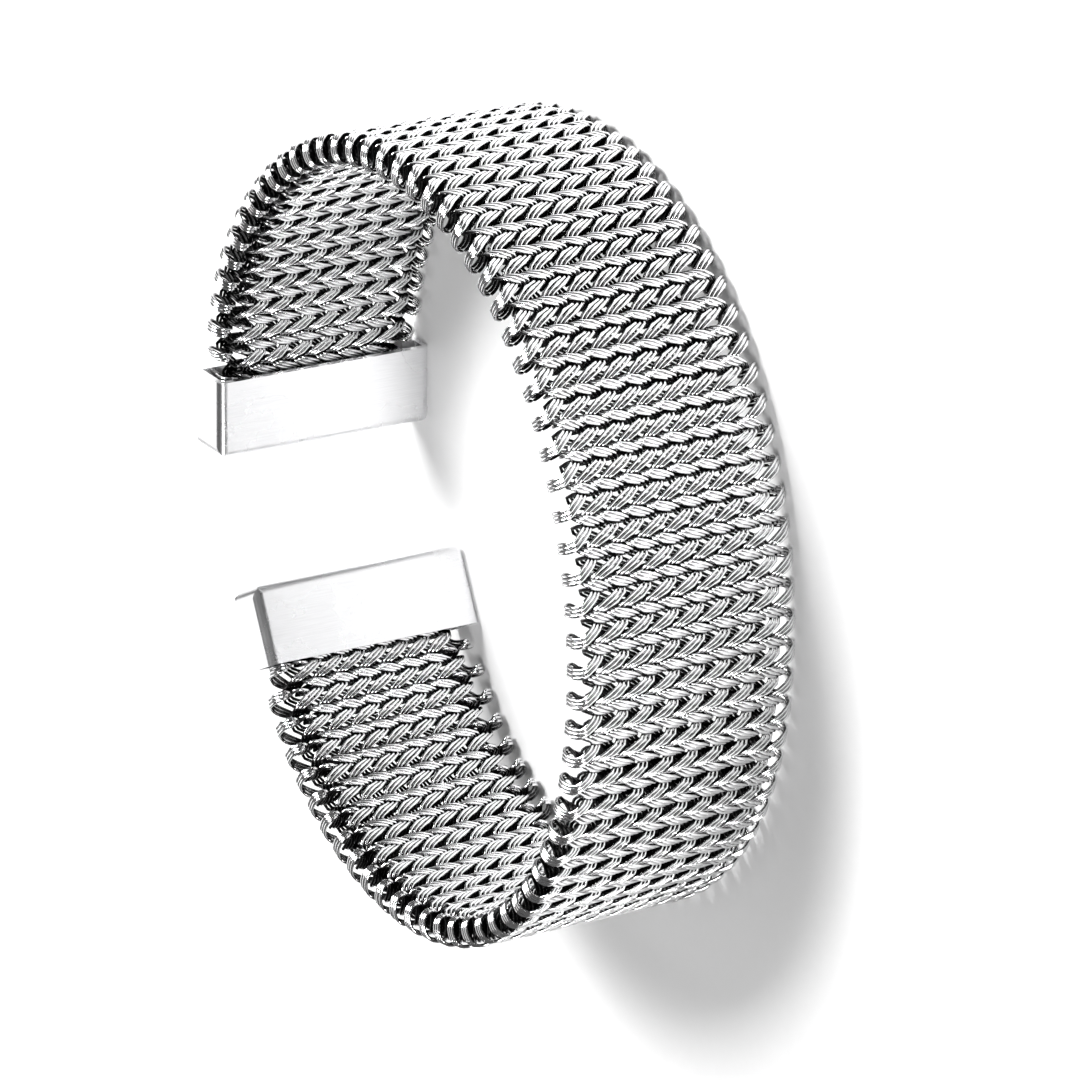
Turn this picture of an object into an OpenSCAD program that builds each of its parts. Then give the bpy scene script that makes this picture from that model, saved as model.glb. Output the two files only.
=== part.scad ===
// Open mesh bracelet lying on its side, with a metal cap on each end of its band.
// The ring's axis is Z, the gap between the caps faces -X, and z = 0 is the surface that it lies on.
// Seen from above, the band's middle line is an oval of arcs that meet without a corner: one front arc, then a
// side arc and an end arc on the upper half (+Y) and on the lower half (-Y), whose curves differ a little.

/* [Mesh band] */
// Width of the band, which is the height of the bracelet as it lies
band_w = 19; // [12:0.5:26]
// Thickness of the mesh
band_t = 2.7; // [2:0.1:3.4]
// Radius of the rounded edges of the mesh
band_edge_r = 0.8; // [0.4:0.1:0.9]
// Length of the band that one pair of rows takes up
row_pitch = 2.3; // [2:0.1:3.2]
// Depth of the notches between the loops along each edge
loop_depth = 0.6; // [0.2:0.1:0.8]
// Depth of the grooves between the rows
groove_depth = 0.2; // [0.1:0.05:0.3]
// Length over which the band is pressed narrower where it enters a cap
press_len = 3; // [2:0.5:6]

/* [Oval of the band] */
// Radius of the front arc, opposite the gap
front_r = 35; // [32:0.5:40]
// Turn of the front arc above the X axis, in degrees
front_turn_upper = 15; // [8:1:20]
// Turn of the front arc below the X axis, in degrees
front_turn_lower = 31; // [24:1:36]
// Radius of the upper side arc
side_r_upper = 27.4; // [24:0.2:31]
// Radius of the lower side arc
side_r_lower = 25.2; // [22:0.2:29]
// Turn of the upper side arc, in degrees
side_turn_upper = 116; // [106:1:120]
// Turn of the lower side arc, in degrees
side_turn_lower = 106; // [96:1:110]
// Radius of the arc next to each cap
end_r = 22.7; // [18:0.1:27]
// Turn of the upper end arc, in degrees
end_turn_upper = 31; // [22:1:34]
// Turn of the lower end arc, in degrees
end_turn_lower = 33; // [24:1:36]

/* [End caps] */
// Length of a cap along the band
cap_len = 6.4; // [4.5:0.1:8]
// Wall of the cap on its four sides
cap_wall = 0.5; // [0.35:0.05:0.7]
// Wall that closes the cap at the gap
cap_end_wall = 0.8; // [0.5:0.1:1.4]
// Radius of the cap's long edges
cap_edge_r = 0.7; // [0.2:0.05:0.8]
// Radius of the cap's corners at the gap, seen on its broad face and on its narrow side
cap_corner_r = 1.1; // [0.7:0.1:1.4]

/* [Fit of the band in its caps] */
// Clearance between the band and the cap's inner wall, towards the wrist
clear_inner = 0.15; // [0.1:0.05:0.3]
// Clearance between the band and the cap's outer wall
clear_outer = 0.45; // [0.2:0.05:0.7]
// Clearance beside the pressed end of the band, on each side
clear_side = 0.3; // [0.15:0.05:0.6]
// Clearance between the band's end and the wall that closes the cap
clear_end = 0.3; // [0.15:0.05:0.6]

/* [Hidden] */
$fn = 96;

// The cap is as wide as the band, and so thick that the band and its clearances fit between its walls.
cap_w = band_w;
cap_inner = band_t / 2 + clear_inner + cap_wall;
cap_outer = band_t / 2 + clear_outer + cap_wall;
cap_t = cap_inner + cap_outer;
pocket_w = cap_w - 2 * cap_wall;
pocket_len = cap_len - cap_end_wall;
tongue_w = pocket_w - 2 * clear_side;
tongue_len = pocket_len - clear_end;

// A cut runs this far past the face that it opens.
past = 1;

// Unit vector at an angle.
function heading(angle) = [cos(angle), sin(angle)];

// The arcs of one half, as [centre, radius, first angle, turn]. Each centre lies on the line from the last
// centre to the point where the two arcs meet. The lower half is worked out above the X axis, then mirrored.
function half_arcs(front_turn, side_r, side_turn, end_turn) =
    let (side_c = (front_r - side_r) * heading(front_turn),
         side_end = front_turn + side_turn,
         end_c = side_c + (side_r - end_r) * heading(side_end))
    [[[0, 0], front_r, 0, front_turn],
     [side_c, side_r, front_turn, side_turn],
     [end_c, end_r, side_end, end_turn]];

upper_arcs = half_arcs(front_turn_upper, side_r_upper, side_turn_upper, end_turn_upper);
lower_arcs = half_arcs(front_turn_lower, side_r_lower, side_turn_lower, end_turn_lower);

// Where a half ends: the angle of its outward normal, and the point of the middle line.
function end_angle(arcs) = arcs[2][2] + arcs[2][3];
function end_point(arcs) = arcs[2][0] + arcs[2][1] * heading(end_angle(arcs));

// The point of a cap that lies furthest from the front, which is on its rounded corner.
function cap_reach(arcs) =
    let (out = heading(end_angle(arcs)),
         along = heading(end_angle(arcs) + 90),
         corner = end_point(arcs) + (cap_outer - cap_corner_r) * out + (cap_len - cap_corner_r) * along)
    corner[0] - cap_corner_r;

// The origin is under the middle of the bracelet's outline.
x_front = front_r + band_t / 2;
x_back = min(cap_reach(upper_arcs), cap_reach(lower_arcs));
y_upper = upper_arcs[1][0][1] + side_r_upper + band_t / 2;
y_lower = -lower_arcs[1][0][1] - side_r_lower - band_t / 2;
centre = [(x_front + x_back) / 2, (y_upper + y_lower) / 2];

// Rectangle from 0 to its size, with a radius at each of its four corners, in turn from the origin.
module rounded_rectangle(size, radii) {
    corners = [[0, 0], [size[0], 0], size, [0, size[1]]];
    inward = [[1, 1], [-1, 1], [-1, -1], [1, -1]];
    difference() {
        square(size);
        for (i = [0:3]) {
            if (radii[i] > 0)
                translate(corners[i])
                    in_quadrant(inward[i])
                        corner_waste(radii[i]);
        }
    }
}

// Mirrors a shape drawn in the first quadrant into the quadrant that the signs name.
module in_quadrant(signs) {
    mirror([signs[0] < 0 ? 1 : 0, 0])
        mirror([0, signs[1] < 0 ? 1 : 0])
            children();
}

// What a rounding of radius r takes away at a corner in the first quadrant.
module corner_waste(r) {
    difference() {
        translate([-past, -past])
            square(r + past);
        translate([r, r])
            circle(r);
    }
}

// Puts a shape at the end of a half: its x is outward, its y runs along the band towards the gap.
module at_end(arcs) {
    point = end_point(arcs);
    translate([point[0], point[1], 0])
        rotate([0, 0, end_angle(arcs)])
            children();
}

// Length of an arc, and of a half from the X axis to the cap's mouth.
function arc_len(arc) = arc[1] * arc[3] * PI / 180;
function half_len(arcs) = arc_len(arcs[0]) + arc_len(arcs[1]) + arc_len(arcs[2]);

// A place on the middle line, as [point, angle of the outward normal], at a distance along an arc.
function on_arc(arc, along) =
    let (angle = arc[2] + along / arc_len(arc) * arc[3])
    [arc[0] + arc[1] * heading(angle), angle];

// The same on a half, at a distance from the X axis. Past the cap's mouth the line runs on straight.
function on_half(arcs, along) =
    let (first = arc_len(arcs[0]),
         second = first + arc_len(arcs[1]),
         whole = half_len(arcs))
    along < first ? on_arc(arcs[0], along) :
    along < second ? on_arc(arcs[1], along - first) :
    along < whole ? on_arc(arcs[2], along - second) :
    [end_point(arcs) + (along - whole) * heading(end_angle(arcs) + 90), end_angle(arcs)];

// The same on the whole band, where a distance below zero is on the lower half.
function on_band(along) =
    along >= 0 ? on_half(upper_arcs, along) :
    let (place = on_half(lower_arcs, -along))
    [[place[0][0], -place[0][1]], -place[1]];

upper_len = half_len(upper_arcs);
lower_len = half_len(lower_arcs);

// A section is drawn on each ridge and in each groove, and a pair of rows has two of both.
steps_per_pair = 4;
pairs = round((upper_len + lower_len) / row_pitch);
steps = pairs * steps_per_pair;

// Share of the pressing at a distance along the band, from 0 in the open to 1 at a cap's mouth and in the cap.
function pressed(along) =
    let (to_mouth = max(0, min(upper_len - along, lower_len + along)),
         share = max(0, 1 - to_mouth / press_len))
    share * share * (3 - 2 * share);

// Depth of an edge's notch at a phase of the edge's loops: a loop is round, with its tip at half a pair.
function notch(phase) =
    let (from_tip = 2 * (phase - floor(phase)) - 1)
    loop_depth * (1 - sqrt(1 - from_tip * from_tip));

// Depth of the grooves at a phase: there are two rows in a pair, and the caps grip the band at a ridge.
function groove(phase) = groove_depth / 2 * (1 - cos(720 * phase));

// Section of the band, as [outward, height] points about the middle line: a rectangle with rounded corners.
function section(thickness, low, high) =
    let (side = thickness / 2 - band_edge_r)
    [for (corner = [[1, high - band_edge_r, 0], [-1, high - band_edge_r, 90],
                    [-1, low + band_edge_r, 180], [1, low + band_edge_r, 270]])
        for (turn = [0, 45, 90])
            [corner[0] * side, corner[1]] + band_edge_r * heading(corner[2] + turn)];

// The section where it stands in the band, at a distance along it and a phase of the row pair. The loops of the
// upper edge stand between the two rows of a pair, those of the lower edge between two pairs.
function placed_section(along, phase) =
    let (place = on_band(along),
         out = heading(place[1]),
         press = pressed(along),
         narrower = press * (band_w - tongue_w) / 2,
         high = band_w - narrower - (1 - press) * notch(phase + 0.25),
         low = narrower + (1 - press) * notch(phase + 0.75))
    [for (p = section(band_t - 2 * groove(phase), low, high))
        [place[0][0] + p[0] * out[0], place[0][1] + p[0] * out[1], p[1]]];

// All sections from the lower cap to the upper one. The first and the last stand inside the caps.
function band_sections() =
    concat([placed_section(-lower_len - tongue_len, 0)],
           [for (i = [0:steps])
               placed_section((upper_len + lower_len) * i / steps - lower_len, i / steps_per_pair)],
           [placed_section(upper_len + tongue_len, 0)]);

// A closed skin over a row of sections that all have as many points.
module skin(sections) {
    sides = len(sections[0]);
    last = len(sections) - 1;
    walls = [for (i = [0:last - 1])
                for (j = [0:sides - 1])
                    let (a = i * sides + j, b = i * sides + (j + 1) % sides)
                        each [[a, b, b + sides], [a, b + sides, a + sides]]];
    first_end = [for (j = [sides - 1:-1:0]) j];
    last_end = [for (j = [0:sides - 1]) last * sides + j];
    polyhedron([for (s = sections) each s], concat(walls, [first_end, last_end]));
}

// A cap before its pocket is cut: the shapes seen along the band, on its broad face and on its narrow side,
// each with its own roundings, and what they have in common.
module cap_block() {
    long_edges = [cap_edge_r, cap_edge_r, cap_edge_r, cap_edge_r];
    intersection() {
        translate([-cap_inner, cap_len, 0])
            rotate([90, 0, 0])
                linear_extrude(cap_len)
                    rounded_rectangle([cap_t, cap_w], long_edges);
        translate([-cap_inner, 0, 0])
            rotate([90, 0, 90])
                linear_extrude(cap_t)
                    rounded_rectangle([cap_len, cap_w], [0, cap_corner_r, cap_corner_r, 0]);
        translate([-cap_inner, 0, 0])
            linear_extrude(cap_w)
                rounded_rectangle([cap_t, cap_len], [0, 0, cap_corner_r, cap_edge_r]);
    }
}

// The pocket that the band's end goes into.
module cap_pocket() {
    translate([cap_wall - cap_inner, -past, cap_wall])
        cube([cap_t - 2 * cap_wall, pocket_len + past, pocket_w]);
}

module end_cap(arcs) {
    at_end(arcs)
        difference() {
            cap_block();
            cap_pocket();
        }
}

module to_origin() {
    translate([-centre[0], -centre[1], 0])
        children();
}

module mesh_band() {
    color([0.72, 0.72, 0.73])
        to_origin()
            skin(band_sections());
}

module end_cap_upper() {
    color([0.85, 0.85, 0.86])
        to_origin()
            end_cap(upper_arcs);
}

module end_cap_lower() {
    color([0.85, 0.85, 0.86])
        to_origin()
            mirror([0, 1, 0])
                end_cap(lower_arcs);
}

mesh_band();
end_cap_upper();
end_cap_lower();
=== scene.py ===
import math

import bpy
from mathutils import Matrix, Vector, noise


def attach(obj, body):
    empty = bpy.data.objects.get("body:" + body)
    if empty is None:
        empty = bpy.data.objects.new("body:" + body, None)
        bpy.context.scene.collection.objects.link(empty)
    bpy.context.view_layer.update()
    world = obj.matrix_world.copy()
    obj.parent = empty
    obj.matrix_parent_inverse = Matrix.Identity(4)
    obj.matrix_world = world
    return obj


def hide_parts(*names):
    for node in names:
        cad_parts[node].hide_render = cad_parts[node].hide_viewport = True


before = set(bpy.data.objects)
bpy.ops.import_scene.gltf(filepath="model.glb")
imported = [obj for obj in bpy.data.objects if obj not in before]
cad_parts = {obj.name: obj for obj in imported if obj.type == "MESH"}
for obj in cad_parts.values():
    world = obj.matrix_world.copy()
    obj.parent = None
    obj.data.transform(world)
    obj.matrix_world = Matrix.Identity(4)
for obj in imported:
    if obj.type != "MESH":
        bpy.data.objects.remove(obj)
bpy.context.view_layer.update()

# Woven band of the bracelet. It is bright round steel wire, three wires to a strand and two strands to a row.
# Each row is a flattened coil across the band, its neighbours are wound the other way and hooked into it, and
# a strand that reaches an edge turns back through the next row. The ends are glued into the two caps.
band_w = 19.0e-3
band_t = 2.7e-3
wire_d = 0.27e-3
front_r = 35.0e-3
end_r = 22.7e-3
side_r = {"upper": 27.4e-3, "lower": 25.2e-3}
turns = {"upper": (15, 116, 31), "lower": (31, 106, 33)}
cap_len = 6.4e-3
cap_corner_r = 1.1e-3
cap_outside = 2.3e-3
pressed_w = 17.3e-3
press_len = 3.0e-3
pairs_near = 2.3e-3


def heading(angle):
    return Vector((math.cos(math.radians(angle)), math.sin(math.radians(angle))))


def half_line(half, step=0.2e-3):
    """Points of the band's middle line from the front to one mouth and on into its cap, above the X axis."""
    front, side, end = turns[half]
    side_c = (front_r - side_r[half]) * heading(front)
    end_c = side_c + (side_r[half] - end_r) * heading(front + side)
    arcs = [(Vector((0, 0)), front_r, 0, front), (side_c, side_r[half], front, side),
            (end_c, end_r, front + side, end)]
    points = []
    for centre, radius, first, turn in arcs:
        count = round(radius * math.radians(turn) / step)
        for i in range(count):
            points.append(centre + radius * heading(first + turn * i / count))
    mouth_angle = front + side + end
    mouth = end_c + end_r * heading(mouth_angle)
    along = heading(mouth_angle + 90)
    for i in range(40):
        points.append(mouth + along * step * i)
    length = sum(radius * math.radians(turn) for _, radius, _, turn in arcs)
    corner = mouth + (cap_outside - cap_corner_r) * heading(mouth_angle) + (cap_len - cap_corner_r) * along
    return points, length, corner.x - cap_corner_r, side_c.y + side_r[half] + band_t / 2


upper_points, upper_len, upper_back, upper_reach = half_line("upper")
lower_points, lower_len, lower_back, lower_reach = half_line("lower")
lower_points = [Vector((p.x, -p.y)) for p in lower_points]
oval_middle = Vector(((front_r + band_t / 2 + min(upper_back, lower_back)) / 2, (upper_reach - lower_reach) / 2))
middle_line = [p - oval_middle for p in reversed(lower_points[1:])] + [p - oval_middle for p in upper_points]
tail_len = 39 * 0.2e-3

band_len = upper_len + lower_len
pairs = round(band_len / pairs_near)
pair_len = band_len / pairs
row_gap = pair_len / 2
first_row = (lower_len + 0.06e-3) % pair_len - pair_len

# Columns are the places across the band where the strands of a row turn. Those of the left-wound rows lie
# between those of the right-wound rows. The right-wound rows are wider and cover the ends of their neighbours.
half_t = (band_t - wire_d) / 2 - 0.03e-3
columns = 9
column_gap = 2.14e-3
first_column = (band_w - columns * column_gap) / 2
right_z = [first_column + column_gap * i for i in range(columns + 1)]
left_z = [first_column + column_gap * (i + 0.5) for i in range(columns)]
left_z[0] += 0.4e-3
left_z[-1] -= 0.4e-3
right_reach = 0.88e-3
right_crest = (0.13e-3, 0.44e-3)
left_reach = 0.56e-3
left_crest = (0.12e-3, 0.46e-3)
left_x = -1.10e-3
left_t = half_t - 0.18e-3
steps = 6
side_gap = 0.30e-3
lean = 1.6


def half_turn(row_x, reach, rise, crest, first_z, last_z, outside, u):
    """Half a turn of one wire, down over the outer face or back up through the inner one."""
    points = []
    side = 1 if outside else -1
    way = 1 if last_z > first_z else -1
    for i in range(1, steps + 1):
        t = math.pi * i / steps
        share = math.sin(t) ** 4
        x = row_x + side * reach * math.cos(t) + side * way * u * crest[0] * share
        z = first_z + (last_z - first_z) * (t - lean / 2 * math.sin(2 * t)) / math.pi
        z += u * (side_gap + (crest[1] - side_gap) * share)
        points.append((x, -side * rise * math.sin(t) ** 0.9, z))
    return points


def right_turn(column, outside, u):
    return half_turn(0, right_reach, half_t, right_crest, right_z[column], right_z[column + 1], outside, u)


def left_turn(column, outside, u):
    return half_turn(left_x, left_reach, left_t, left_crest, left_z[column], left_z[column - 1], outside, u)


def smooth_through(places, parts):
    """Points of a smooth curve through the places, without the first."""
    places = [Vector(p) for p in places]
    ends = [2 * places[0] - places[1]] + places + [2 * places[-1] - places[-2]]
    points = []
    for i in range(1, len(ends) - 2):
        a, b, c, d = ends[i - 1:i + 3]
        for k in range(1, parts + 1):
            t = k / parts
            points.append(tuple(0.5 * (2 * b + (c - a) * t + (2 * a - 5 * b + 4 * c - d) * t ** 2
                                       + (3 * b - a - 3 * c + d) * t ** 3)))
    return points


def edge_loop(u):
    """The loop round the near edge, from the last column of a right-wound row to the left-wound row below."""
    top = band_w - wire_d / 2 - 0.03e-3
    z = right_z[-2]
    last = left_z[-1]
    places = [(right_reach, 0, z, 90),
              (0.80e-3, -0.72e-3, z - 0.02e-3, 75),
              (0.50e-3, -1.08e-3, z + 0.32e-3, 60),
              (0.06e-3, -1.17e-3, z + 0.95e-3, 35),
              (-0.30e-3, -1.04e-3, top - 0.48e-3, 10),
              (-0.45e-3, -0.62e-3, top - 0.12e-3, 0),
              (-0.50e-3, 0.00e-3, top, 0),
              (-0.52e-3, 0.62e-3, top - 0.12e-3, 0),
              (-0.54e-3, 1.02e-3, top - 0.48e-3, 10),
              (-0.54e-3, 1.08e-3, top - 0.90e-3, 30),
              (-0.53e-3, 0.62e-3, last + 0.02e-3, 65),
              (left_reach + left_x, 0, last, 90)]
    shifted = []
    for x, y, z, turn in places:
        side = side_gap * u * heading(turn)
        shifted.append((x + side.x, y, z + side.y))
    return smooth_through(shifted, 2)


def edge_hook(u):
    """The small turn of the other strand, which stays inside the band's edge."""
    points = []
    first_z = right_z[-2] + u * side_gap
    last_z = left_z[-2] - u * side_gap
    depth = half_t * (0.72 + 0.28 * u)
    for i in range(1, steps + 1):
        t = math.pi * i / steps
        share = (1 - math.cos(t)) / 2
        x = -right_reach + (left_reach + left_x + right_reach) * share
        points.append((x, depth * math.sin(t) ** 0.8, first_z + (last_z - first_z) * share))
    return points


def turned_round(turn, start_x, u):
    """The same turn at the far edge: the near one, turned round its row and run the other way."""
    places = [(start_x, 0, right_z[-2] - side_gap * u)] + turn(-u)
    points = [(-x - pair_len, y, band_w - z) for x, y, z in reversed(places)]
    shift = left_x - left_reach - points[0][0]
    for i, (x, y, z) in enumerate(points):
        share = min(i / (0.4 * len(points)), 1)
        points[i] = (x + shift * (1 - share * share * (3 - 2 * share)), y, z)
    return points[1:]


def near_strand(u):
    """One wire of the strand that makes the loops along the near edge."""
    points = [(-right_reach, 0, right_z[1] + side_gap * u)]
    for column in range(1, columns - 1):
        points += right_turn(column, column % 2 == 0, u)
    points += edge_loop(u)
    for column in range(columns - 1, 1, -1):
        points += left_turn(column, column % 2 == 0, u)
    return points + turned_round(edge_hook, -right_reach, -u)


def far_strand(u):
    """One wire of the strand that makes the loops along the far edge. It starts where a near one has ended."""
    points = [(right_reach, 0, right_z[1] - side_gap * u)]
    for column in range(1, columns - 1):
        points += right_turn(column, column % 2 == 1, -u)
    points += edge_hook(-u)
    for column in range(columns - 2, 0, -1):
        points += left_turn(column, column % 2 == 1, u)
    return points + turned_round(edge_loop, right_reach, u)


bpy.ops.object.select_all(action="DESELECT")
bpy.ops.curve.primitive_nurbs_path_add(location=(0, 0, 0))
middle = bpy.context.object
middle.name = "band_middle_line"
middle.data.dimensions = "3D"
middle.data.twist_mode = "Z_UP"
middle.data.splines.clear()
spline = middle.data.splines.new("POLY")
spline.points.add(len(middle_line) - 1)
for point, place in zip(spline.points, middle_line):
    point.co = (place.x, place.y, 0, 1)

wires = []
for name, u in (("mesh_wires_far", -1), ("mesh_wires_middle", 0), ("mesh_wires_near", 1)):
    bpy.ops.object.select_all(action="DESELECT")
    bpy.ops.curve.primitive_nurbs_path_add(location=(0, 0, 0))
    wire = bpy.context.object
    wire.name = name
    wire.data.name = name
    wire.data.twist_mode = "Z_UP"
    wire.data.bevel_depth = wire_d / 2
    wire.data.bevel_resolution = 1
    wire.data.use_fill_caps = False
    wire.data.splines.clear()
    for path in (near_strand(u), far_strand(u)):
        spline = wire.data.splines.new("POLY")
        spline.points.add(len(path) - 1)
        spline.use_smooth = True
        for point, place in zip(spline.points, path):
            point.co = (*place, 1)
    bpy.ops.object.convert(target="MESH")
    wire = bpy.context.object

    # The pair of rows is laid out along the whole band, and on into the two caps.
    repeat = wire.modifiers.new("rows", "ARRAY")
    repeat.count = pairs + 3
    repeat.use_relative_offset = False
    repeat.use_constant_offset = True
    repeat.constant_offset_displace = (pair_len, 0, 0)
    repeat.use_merge_vertices = True
    repeat.merge_threshold = 0.05e-3
    bpy.ops.object.modifier_apply(modifier="rows")

    # Painted shade: how much a spot lies out in the light, 0 to 1, is kept for the steel's colour. Near the middle
    # of the weave and on the flanks of the wires it lies in shade, and there the colour is painted dark.
    painted_lit_share = wire.data.attributes.new("painted_lit_share", "FLOAT", "POINT")
    for vertex, value in zip(wire.data.vertices, painted_lit_share.data):
        across = vertex.co.z - band_w / 2
        near_face = min(abs(vertex.co.y) / half_t, 1)
        near_edge = min(max(1 - (band_w / 2 - abs(across) - 0.4e-3) / 0.6e-3, 0), 1)
        outward = Vector((0, math.copysign(near_face, vertex.co.y), math.copysign(near_edge, across))).normalized()
        facing = max(vertex.normal.dot(outward), 0)
        value.value = max(near_face, near_edge) * (0.5 + 0.5 * facing)

    # The wires are set a little off their even places, and pressed narrower near each cap, to fit its pocket.
    for vertex in wire.data.vertices:
        vertex.co += 0.035e-3 * noise.noise_vector(vertex.co * 700 + Vector((0, 0, 9 * u)))
        vertex.co.x += tail_len + first_row
        from_mouth = min(vertex.co.x - tail_len, tail_len + band_len - vertex.co.x)
        share = min(max(from_mouth / press_len, 0), 1)
        share = share * share * (3 - 2 * share)
        width = pressed_w + (band_w - pressed_w) * share
        vertex.co.z = band_w / 2 + (vertex.co.z - band_w / 2) * width / band_w

    bend = wire.modifiers.new("oval", "CURVE")
    bend.object = middle
    bend.deform_axis = "POS_X"
    bpy.ops.object.modifier_apply(modifier="oval")
    bpy.ops.object.shade_smooth()
    wires.append(wire)

bpy.data.objects.remove(middle)

wire_steel = bpy.data.materials.new("drawn_steel_wire")
wire_steel.use_nodes = True
nodes = wire_steel.node_tree.nodes
link = wire_steel.node_tree.links.new
shader = nodes["Principled BSDF"]
shader.inputs["Metallic"].default_value = 1.0
place = nodes.new("ShaderNodeTexCoord")
# Painted shade: the ramp turns the share of light into the steel's colour, near black in the shaded spots and
# bright in the lit ones.
painted_lit_share_input = nodes.new("ShaderNodeAttribute")
painted_lit_share_input.attribute_name = "painted_lit_share"
painted_shade_ramp = nodes.new("ShaderNodeValToRGB")
painted_shade_ramp.color_ramp.elements[0].position = 0.40
painted_shade_ramp.color_ramp.elements[0].color = (0.015, 0.015, 0.015, 1)
painted_shade_ramp.color_ramp.elements[1].position = 0.70
painted_shade_ramp.color_ramp.elements[1].color = (0.95, 0.95, 0.96, 1)
link(painted_lit_share_input.outputs["Fac"], painted_shade_ramp.inputs["Fac"])

# Patches a few millimetres wide, where handling has left the wire a little duller.
patches = nodes.new("ShaderNodeTexNoise")
patches.inputs["Scale"].default_value = 260
patches.inputs["Detail"].default_value = 3
link(place.outputs["Object"], patches.inputs["Vector"])
duller = nodes.new("ShaderNodeMix")
duller.data_type = "RGBA"
duller.blend_type = "MULTIPLY"
duller.inputs["B"].default_value = (0.92, 0.915, 0.91, 1)
link(patches.outputs["Fac"], duller.inputs["Factor"])
link(painted_shade_ramp.outputs["Color"], duller.inputs["A"])
link(duller.outputs["Result"], shader.inputs["Base Color"])
wire_polish = nodes.new("ShaderNodeMapRange")
wire_polish.inputs["From Min"].default_value = 0.3
wire_polish.inputs["From Max"].default_value = 0.7
wire_polish.inputs["To Min"].default_value = 0.10
wire_polish.inputs["To Max"].default_value = 0.22
link(patches.outputs["Fac"], wire_polish.inputs["Value"])
link(wire_polish.outputs["Result"], shader.inputs["Roughness"])

# Marks of the drawing die: fine dents and lines, far narrower than the wire.
die_marks = nodes.new("ShaderNodeTexNoise")
die_marks.inputs["Scale"].default_value = 9000
die_marks.inputs["Detail"].default_value = 2
link(place.outputs["Object"], die_marks.inputs["Vector"])
die_bump = nodes.new("ShaderNodeBump")
die_bump.inputs["Strength"].default_value = 0.25
die_bump.inputs["Distance"].default_value = 0.01e-3
link(die_marks.outputs["Fac"], die_bump.inputs["Height"])
link(die_bump.outputs["Normal"], shader.inputs["Normal"])

for wire in wires:
    wire.data.materials.clear()
    wire.data.materials.append(wire_steel)
    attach(wire, "root")
    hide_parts("mesh_band")

# End caps: folded sheet steel sleeves, closed at the gap, pressed and glued over the two ends of the band.
# They are polished, then lightly brushed along the ring's axis. Their solids come from the frame as they are.
cap_steel = bpy.data.materials.new("brushed_cap_steel")
cap_steel.use_nodes = True
nodes = cap_steel.node_tree.nodes
link = cap_steel.node_tree.links.new
shader = nodes["Principled BSDF"]
shader.inputs["Metallic"].default_value = 1.0
place = nodes.new("ShaderNodeTexCoord")

# Brushed lines, long along the axis of the ring and a few hundredths of a millimetre wide.
stretch = nodes.new("ShaderNodeMapping")
stretch.inputs["Scale"].default_value = (1, 1, 0.03)
link(place.outputs["Object"], stretch.inputs["Vector"])
lines = nodes.new("ShaderNodeTexNoise")
lines.inputs["Scale"].default_value = 14000
lines.inputs["Detail"].default_value = 4
link(stretch.outputs["Vector"], lines.inputs["Vector"])
line_bump = nodes.new("ShaderNodeBump")
line_bump.inputs["Strength"].default_value = 0.22
line_bump.inputs["Distance"].default_value = 0.01e-3
link(lines.outputs["Fac"], line_bump.inputs["Height"])
link(line_bump.outputs["Normal"], shader.inputs["Normal"])

# Wear: faint clouds where fingers have dulled the polish.
clouds = nodes.new("ShaderNodeTexNoise")
clouds.inputs["Scale"].default_value = 320
clouds.inputs["Detail"].default_value = 5
link(place.outputs["Object"], clouds.inputs["Vector"])
cap_polish = nodes.new("ShaderNodeMapRange")
cap_polish.inputs["From Min"].default_value = 0.35
cap_polish.inputs["From Max"].default_value = 0.7
cap_polish.inputs["To Min"].default_value = 0.25
cap_polish.inputs["To Max"].default_value = 0.31
link(clouds.outputs["Fac"], cap_polish.inputs["Value"])
link(cap_polish.outputs["Result"], shader.inputs["Roughness"])
cap_tone = nodes.new("ShaderNodeValToRGB")
cap_tone.color_ramp.elements[0].position = 0.3
cap_tone.color_ramp.elements[0].color = (0.76, 0.76, 0.77, 1)
cap_tone.color_ramp.elements[1].position = 0.7
cap_tone.color_ramp.elements[1].color = (0.83, 0.83, 0.84, 1)
link(lines.outputs["Fac"], cap_tone.inputs["Fac"])
link(cap_tone.outputs["Color"], shader.inputs["Base Color"])

for node in ("end_cap_upper", "end_cap_lower"):
    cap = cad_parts[node]
    cap.data.materials.clear()
    cap.data.materials.append(cap_steel)

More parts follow.
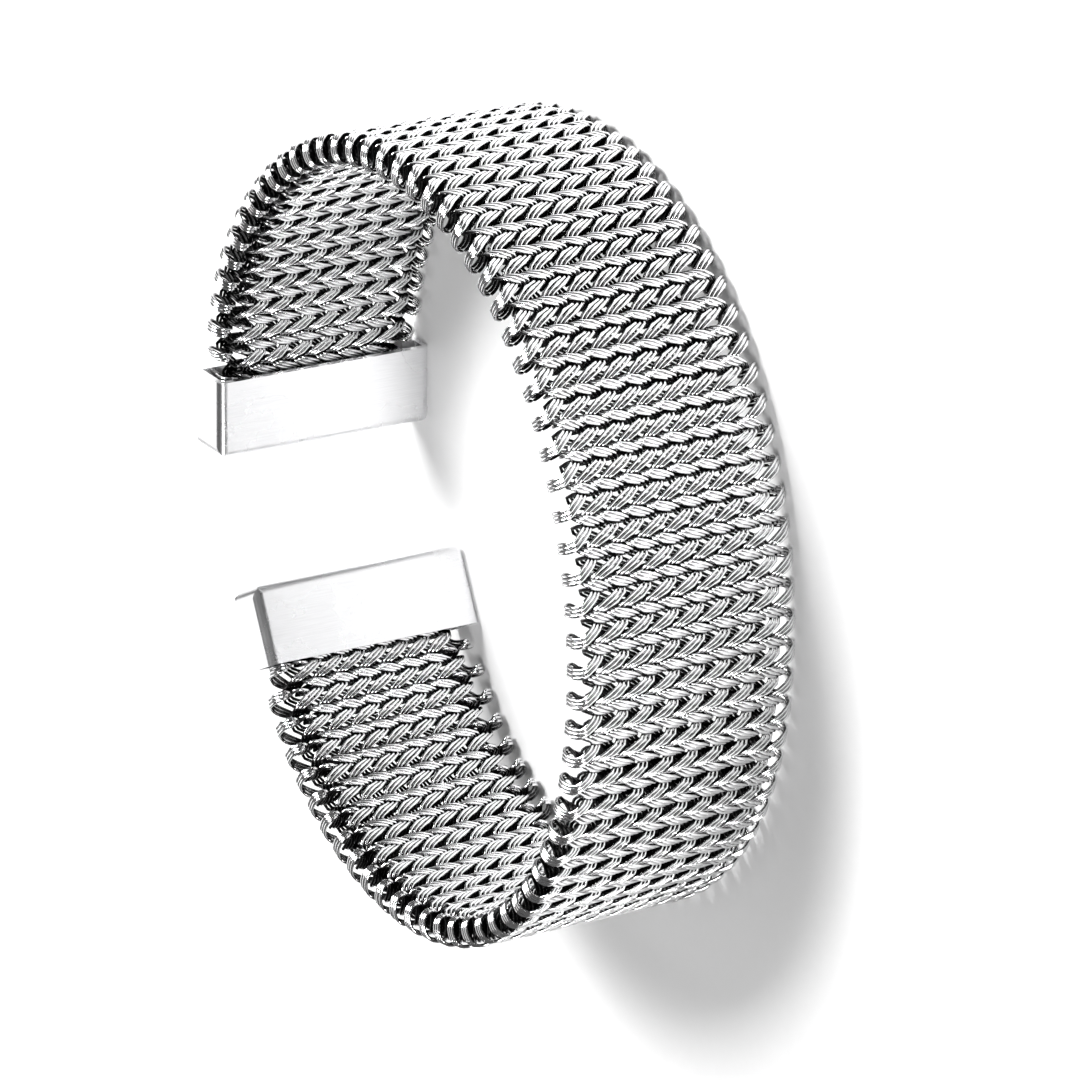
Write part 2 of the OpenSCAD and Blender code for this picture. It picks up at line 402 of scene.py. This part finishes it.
# Floor: a plain, pale, slightly soft table top.
bpy.ops.object.select_all(action="DESELECT")
bpy.ops.mesh.primitive_plane_add(size=6, location=(0, 0, 0))
floor = bpy.context.object
floor.name = "floor"
floor_paint = bpy.data.materials.new("pale_floor")
floor_paint.use_nodes = True
nodes = floor_paint.node_tree.nodes
link = floor_paint.node_tree.links.new
shader = nodes["Principled BSDF"]
place = nodes.new("ShaderNodeTexCoord")
grain = nodes.new("ShaderNodeTexNoise")
grain.inputs["Scale"].default_value = 900
grain.inputs["Detail"].default_value = 3
link(place.outputs["Object"], grain.inputs["Vector"])
floor_tone = nodes.new("ShaderNodeValToRGB")
floor_tone.color_ramp.elements[0].color = (0.915, 0.915, 0.915, 1)
floor_tone.color_ramp.elements[1].color = (0.945, 0.945, 0.945, 1)
link(grain.outputs["Fac"], floor_tone.inputs["Fac"])
link(floor_tone.outputs["Color"], shader.inputs["Base Color"])
shader.inputs["Roughness"].default_value = 0.6
floor.data.materials.append(floor_paint)

# Light: a pale room and two large soft lights.
world = bpy.data.worlds.new("pale_room")
bpy.context.scene.world = world
world.use_nodes = True
world.node_tree.nodes["Background"].inputs["Color"].default_value = (1, 1, 1, 1)
world.node_tree.nodes["Background"].inputs["Strength"].default_value = 0.09
bpy.context.scene.view_settings.view_transform = "Standard"


def soft_light(name, place, size, power):
    bpy.ops.object.light_add(type="AREA", location=place)
    light = bpy.context.object
    light.name = name
    light.data.shape = "SQUARE"
    light.data.size = size
    light.data.energy = power
    light.rotation_mode = "QUATERNION"
    light.rotation_quaternion = (-Vector(place)).to_track_quat("-Z", "Y")
    return light


soft_light("soft_light_over", (-0.1, 0.35, 0.5), 0.3, 5.8)
soft_light("soft_light_front", (0.5, -0.25, 0.35), 0.2, 2.2)
soft_light("soft_light_back", (-0.52, -0.06, 0.29), 0.45, 0.9)

# Camera: where the photo was taken from, in the frame of the bracelet as it lies.
azimuth = math.radians(61.16)
elevation = math.radians(5.53)
roll = math.radians(-8.35)
back = Vector((math.sin(azimuth) * math.cos(elevation), math.sin(elevation),
               math.cos(azimuth) * math.cos(elevation)))
right = Vector((0, 1, 0)).cross(back).normalized()
up = back.cross(right)
right_rolled = math.cos(roll) * right + math.sin(roll) * up
up_rolled = -math.sin(roll) * right + math.cos(roll) * up
place = -0.13e-3 * right_rolled - 3.41e-3 * up_rolled + 482.1e-3 * back
place += Vector((-oval_middle.x, -oval_middle.y, 0.5e-3))
bpy.ops.object.camera_add(location=place)
camera = bpy.context.object
camera.name = "camera"
camera.rotation_mode = "QUATERNION"
camera.rotation_quaternion = Matrix((right_rolled, up_rolled, back)).transposed().to_quaternion()
camera.data.sensor_width = 36
camera.data.lens = 36 * 5.751
camera.data.clip_start = 0.01
camera.data.clip_end = 20
bpy.context.scene.camera = camera
